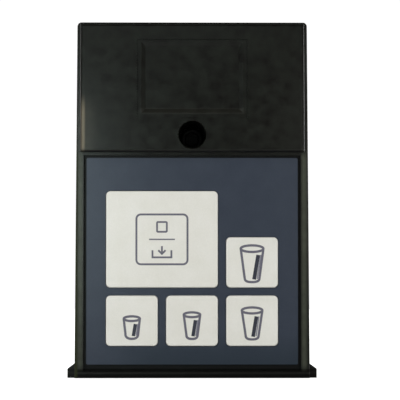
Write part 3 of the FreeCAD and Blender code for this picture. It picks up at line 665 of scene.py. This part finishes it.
def stop_fill_legend():
    """A framed legend: a stop square over a line, and a fill arrow into a tray under it."""
    ink = Ink("stop_fill")
    across, up = ink.centre
    outline = rounded_outline(ink.centre, half_width=8.1 * MM, half_height=7.9 * MM, radius=1.4 * MM)
    ink.stroke(outline, FRAME_LINE, closed=True)
    rule = 4.1 * MM
    ink.stroke([(across - rule, up), (across + rule, up)], RULE_LINE)

    symbol_level = 3.95 * MM
    square = 1.55 * MM
    stop_level = up + symbol_level
    ink.stroke(rounded_outline((across, stop_level), square, square, 0.3 * MM), SYMBOL_LINE, closed=True)

    fill_level = up - symbol_level
    point = fill_level - 0.65 * MM
    ink.stroke([(across, fill_level + 1.8 * MM), (across, point)], SYMBOL_LINE)
    head = 1.15 * MM
    ink.stroke([(across - head, point + head), (across, point), (across + head, point + head)], SYMBOL_LINE)
    tray = 3.0 * MM
    lip = fill_level + 0.5 * MM
    base = fill_level - 1.75 * MM
    corners = [(across - tray, lip), (across - tray, base), (across + tray, base), (across + tray, lip)]
    ink.stroke(corners, SYMBOL_LINE)
    ink.finish("symbols", INK_LINE)


stop_fill_legend()
for key_name, sizes in TUMBLERS.items():
    tumbler(key_name, sizes)


# ------------------------------------------------------------------ turned pieces

def lathe(name, rows, across, up, columns=60):
    """A closed turned mesh along Y.

    Rows are (depth, radius) pairs. A radius may be a function of angle and depth.
    """
    points = [(across, rows[0][0], up)]
    for depth, radius in rows[1:-1]:
        for column in range(columns):
            angle = 2 * math.pi * column / columns
            reach = radius(angle, depth) if callable(radius) else radius
            points.append((across + reach * math.cos(angle), depth, up + reach * math.sin(angle)))
    points.append((across, rows[-1][0], up))
    last = len(points) - 1
    faces = []
    for column in range(columns):
        following = (column + 1) % columns
        faces.append((0, 1 + column, 1 + following))
        for ring in range(len(rows) - 3):
            here = 1 + ring * columns + column
            beside = 1 + ring * columns + following
            faces.append((here, here + columns, beside + columns, beside))
        foot = last - columns
        faces.append((foot + following, foot + column, last))
    return new_piece(name, points, faces)


def smooth(piece, angle):
    """Smooth shading, with edges sharper than an angle kept sharp."""
    for face in piece.data.polygons:
        face.use_smooth = True
    piece.data.set_sharp_from_angle(angle=math.radians(angle))


def hexagon(reach):
    """The radius of a hexagonal socket with flats at a reach from the axis."""
    sector = math.pi / 3
    return lambda angle, depth: reach / math.cos((angle + sector / 2) % sector - sector / 2)


def cross(arm, half_width):
    """The radius of a cross recess with four arms."""

    def radius(angle, depth):
        turn = abs((angle + math.pi / 4) % (math.pi / 2) - math.pi / 4)
        if math.tan(turn) <= half_width / arm:
            return arm / math.cos(turn)
        return half_width / math.sin(turn)

    return radius


def retaining_screw():
    """The captive screw: a socket head, a reduced waist and a rolled thread."""
    low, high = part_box("retaining_screw")
    axis_up = (low[2] + high[2]) / 2
    front = low[1]
    tip = high[1]
    head_radius = (high[0] - low[0]) / 2
    head_height = 3.2 * MM
    head_round = 0.9 * MM
    chamfer = 0.15 * MM
    socket_foot = front + 2.2 * MM
    socket = hexagon(2.0 * MM)
    socket_mouth = hexagon(2.15 * MM)
    waist = 2.0 * MM
    pitch = 0.8 * MM
    crest = MOUNTS["retaining_thread"]["dims"]["r_mm"] * MM
    thread_depth = 0.43 * MM
    thread_length = 7.0 * MM
    thread_start = tip - thread_length
    tip_chamfer = 0.75 * MM

    def thread(angle, depth):
        """The thread's radius: a sloped flank between flat crests and roots."""
        turn = (depth / pitch + angle / (2 * math.pi)) % 1
        flank = 1 - abs(2 * turn - 1)
        flank = min(1, max(0, 1.5 * flank - 0.15))
        run_in = min(1, max(0, (depth - thread_start) / (0.9 * pitch)))
        tip_cut = min(0, (tip - depth) - tip_chamfer)
        return min(crest - thread_depth + thread_depth * flank * run_in, crest + tip_cut)

    rows = [(socket_foot, 0), (socket_foot, socket), (front + chamfer, socket)]
    rows += [(front, socket_mouth), (front, head_radius - head_round)]
    round_steps = 8
    for step in range(1, round_steps + 1):
        turn = math.pi / 2 * step / round_steps
        depth = front + head_round - head_round * math.cos(turn)
        rows.append((depth, head_radius - head_round + head_round * math.sin(turn)))
    back = front + head_height
    rows += [(back - chamfer, head_radius), (back, head_radius - chamfer), (back, waist)]
    rows.append((thread_start - 0.35 * MM, waist))
    steps = 120
    for step in range(steps + 1):
        rows.append((thread_start + (thread_length - 0.01 * MM) * step / steps, thread))
    rows += [(tip, crest - tip_chamfer), (tip, 0)]
    piece = lathe("retaining_screw_detail", rows, 0, axis_up)
    smooth(piece, 50)
    dress(piece, DARK_SCREW)
    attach(piece, "screw_body")
    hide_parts("retaining_screw")


def cover_screws():
    """Countersunk heads with a cross recess, flush with the cover's back."""
    low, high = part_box("rear_cover_screws")
    tip, back = low[1], high[1]
    middle_up = (low[2] + high[2]) / 2
    face_depth = back - 0.01 * MM
    vertices = NODES["rear_cover_screws"].data.vertices
    face_points = [vertex.co for vertex in vertices if vertex.co.y > face_depth]
    head_radius = 2.7 * MM
    chamfer = 0.12 * MM
    recess = cross(1.45 * MM, 0.36 * MM)
    recess_foot = cross(0.8 * MM, 0.3 * MM)
    rows = [
        (tip, 0),
        (tip, 0.7 * MM),
        (tip + 1.0 * MM, 1.2 * MM),
        (back - 1.3 * MM, 1.25 * MM),
        (back - chamfer, head_radius - 0.05 * MM),
        (back, head_radius - chamfer),
        (back, recess),
        (back - 0.9 * MM, recess_foot),
        (back - 1.05 * MM, 0),
    ]
    first = None
    for side in (-1, 1):
        for level in (-1, 1):
            rim = [p for p in face_points if p.x * side > 0 and (p.z - middle_up) * level > 0]
            across = (min(p.x for p in rim) + max(p.x for p in rim)) / 2
            up = (min(p.z for p in rim) + max(p.z for p in rim)) / 2
            corner = f"{'left' if side < 0 else 'right'}_{'low' if level < 0 else 'high'}"
            piece = lathe(f"cover_screw_detail_{corner}", rows, across, up, 72)
            smooth(piece, 30)
            dress(piece, SCREW)
            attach(piece, "housing")
            first = first or piece
    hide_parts("rear_cover_screws")


def switch_dome(key_name):
    """A hollow silicone dome with a soft shoulder."""
    node = f"dome_{key_name}"
    low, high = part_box(node)
    top, base = low[1], high[1]
    base_radius = (high[0] - low[0]) / 2
    top_radius = 2.2 * MM
    skin = 0.5 * MM
    shoulder = 0.3 * MM
    flare = (base_radius - top_radius) / (base - top)
    rows = [
        (top + skin, 0),
        (top + skin, top_radius - skin),
        (base, base_radius - skin),
        (base, base_radius),
        (top + shoulder, top_radius + shoulder * flare),
        (top + 0.3 * shoulder, top_radius - 0.2 * shoulder),
        (top, top_radius - shoulder),
        (top, 0),
    ]
    piece = lathe(f"{node}_soft", rows, (low[0] + high[0]) / 2, (low[2] + high[2]) / 2)
    smooth(piece, 50)
    dress(piece, SILICONE)
    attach(piece, "housing")
    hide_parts(node)
    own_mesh(piece)


retaining_screw()
cover_screws()
for key_name in KEY_NAMES:
    switch_dome(key_name)


# ------------------------------------------------------------------ floor, light and camera

# where the large lamps point
MIDDLE = (0, 0, 0.05)


def seen_as(tree, plain, bright):
    """One shader for light that bounces, and another for what the camera sees directly."""
    ray = tree.nodes.new("ShaderNodeLightPath")
    mix = tree.nodes.new("ShaderNodeMixShader")
    tree.links.new(ray.outputs["Is Camera Ray"], mix.inputs["Fac"])
    tree.links.new(plain, mix.inputs[1])
    tree.links.new(bright, mix.inputs[2])
    return mix.outputs["Shader"]


def stage_floor():
    """A round floor just under the module, which looks white to the camera."""
    bpy.ops.mesh.primitive_circle_add(vertices=96, radius=1.4, fill_type="NGON", location=(0, 0, -0.1 * MM))
    floor = bpy.context.object
    floor.name = "floor"
    material, tree, shader = new_material("floor_white")
    shader.inputs["Base Color"].default_value = (0.55, 0.55, 0.55, 1)
    shader.inputs["Roughness"].default_value = 0.9
    shader.inputs["Specular IOR Level"].default_value = 0.1
    glow = tree.nodes.new("ShaderNodeEmission")
    glow.inputs["Strength"].default_value = 0.9
    both = tree.nodes.new("ShaderNodeAddShader")
    tree.links.new(shader.outputs["BSDF"], both.inputs[0])
    tree.links.new(glow.outputs["Emission"], both.inputs[1])
    surface = tree.nodes["Material Output"].inputs["Surface"]
    tree.links.new(seen_as(tree, shader.outputs["BSDF"], both.outputs["Shader"]), surface)
    floor.data.materials.append(material)


def area_light(name, spot, aim, size, power, colour=(1, 1, 1), diffuse=True, gloss=True):
    """A soft lamp that the camera doesn't see; it may light only matt or only glossy reflection."""
    data = bpy.data.lights.new(name, "AREA")
    data.shape = "RECTANGLE"
    data.size, data.size_y = size
    data.energy = power
    data.color = colour
    light = bpy.data.objects.new(name, data)
    light.visible_camera = False
    light.visible_diffuse = diffuse
    light.visible_glossy = gloss
    bpy.context.collection.objects.link(light)
    light.location = spot
    light.rotation_euler = (Vector(aim) - Vector(spot)).to_track_quat("-Z", "Y").to_euler()


def key_light(name, spot, power, colour):
    """A large lamp in front that gives no reflection."""
    area_light(name, spot, MIDDLE, (0.9, 0.9), power, colour, gloss=False)


def edge_glow(name, spot, aim, size, power, colour):
    """A small lamp near one edge of the front that is only seen as a reflection."""
    area_light(name, spot, aim, size, power, colour, diffuse=False)


def lights():
    """Soft key lamps, reflections at the left, right and top edges, and lamps at the sides and behind."""
    key_light("key_left", (-0.95, -0.85, 0.45), 12.2, (1, 0.99, 0.96))
    key_light("key_right", (0.95, -0.85, 0.45), 10.4, (0.99, 1, 0.97))
    spot, aim = (-0.056, -0.11, 0.06), (-0.04, -0.02, 0.055)
    edge_glow("glow_left", spot, aim, (0.02, 0.08), 0.043, (0.84, 0.99, 0.94))
    spot, aim = (0.066, -0.11, 0.069), (0.04, -0.02, 0.065)
    edge_glow("glow_right", spot, aim, (0.02, 0.09), 0.013, (1, 1, 0.9))
    spot, aim = (-0.02, -0.15, 0.16), (-0.01, -0.02, 0.12)
    edge_glow("glow_top", spot, aim, (0.12, 0.03), 0.014, (0.9, 1, 0.95))
    area_light("side_left", (-1.3, 0.7, 0.6), MIDDLE, (0.7, 0.7), 4.5, diffuse=False)
    area_light("side_right", (1.3, 0.7, 0.6), MIDDLE, (0.7, 0.7), 4.5, diffuse=False)
    area_light("back_left", (-0.7, 1.2, 0.7), MIDDLE, (0.9, 0.9), 12)
    area_light("back_right", (0.9, 1.1, 0.5), MIDDLE, (0.9, 0.9), 8)


def surroundings():
    """A soft, even room that looks white where nothing stands before it."""
    world = bpy.data.worlds.new("studio")
    bpy.context.scene.world = world
    world.use_nodes = True
    tree = world.node_tree
    room = tree.nodes["Background"]
    room.inputs["Color"].default_value = (1, 1, 0.94, 1)
    room.inputs["Strength"].default_value = 0.11
    bright = tree.nodes.new("ShaderNodeBackground")
    bright.inputs["Color"].default_value = (1, 1, 1, 1)
    bright.inputs["Strength"].default_value = 1.05
    surface = tree.nodes["World Output"].inputs["Surface"]
    tree.links.new(seen_as(tree, room.outputs["Background"], bright.outputs["Background"]), surface)


def camera():
    """A long lens a little under the middle of the module."""
    data = bpy.data.cameras.new("camera")
    data.lens = 182.7
    data.sensor_width = 36
    view = bpy.data.objects.new("camera", data)
    bpy.context.collection.objects.link(view)
    distance = 0.644
    elevation = math.radians(-2.2)
    turn = math.radians(-0.6)
    level = math.cos(elevation)
    back = Vector((level * math.sin(turn), -level * math.cos(turn), math.sin(elevation)))
    aim = Vector((0.00247, RIM_PLANE, 0.0564))
    view.location = aim + back * distance
    view.rotation_euler = (-back).to_track_quat("-Z", "Y").to_euler()
    data.clip_start = 0.01
    data.clip_end = 50
    bpy.context.scene.camera = view


stage_floor()
lights()
surroundings()
camera()
bpy.context.scene.view_settings.view_transform = "Standard"
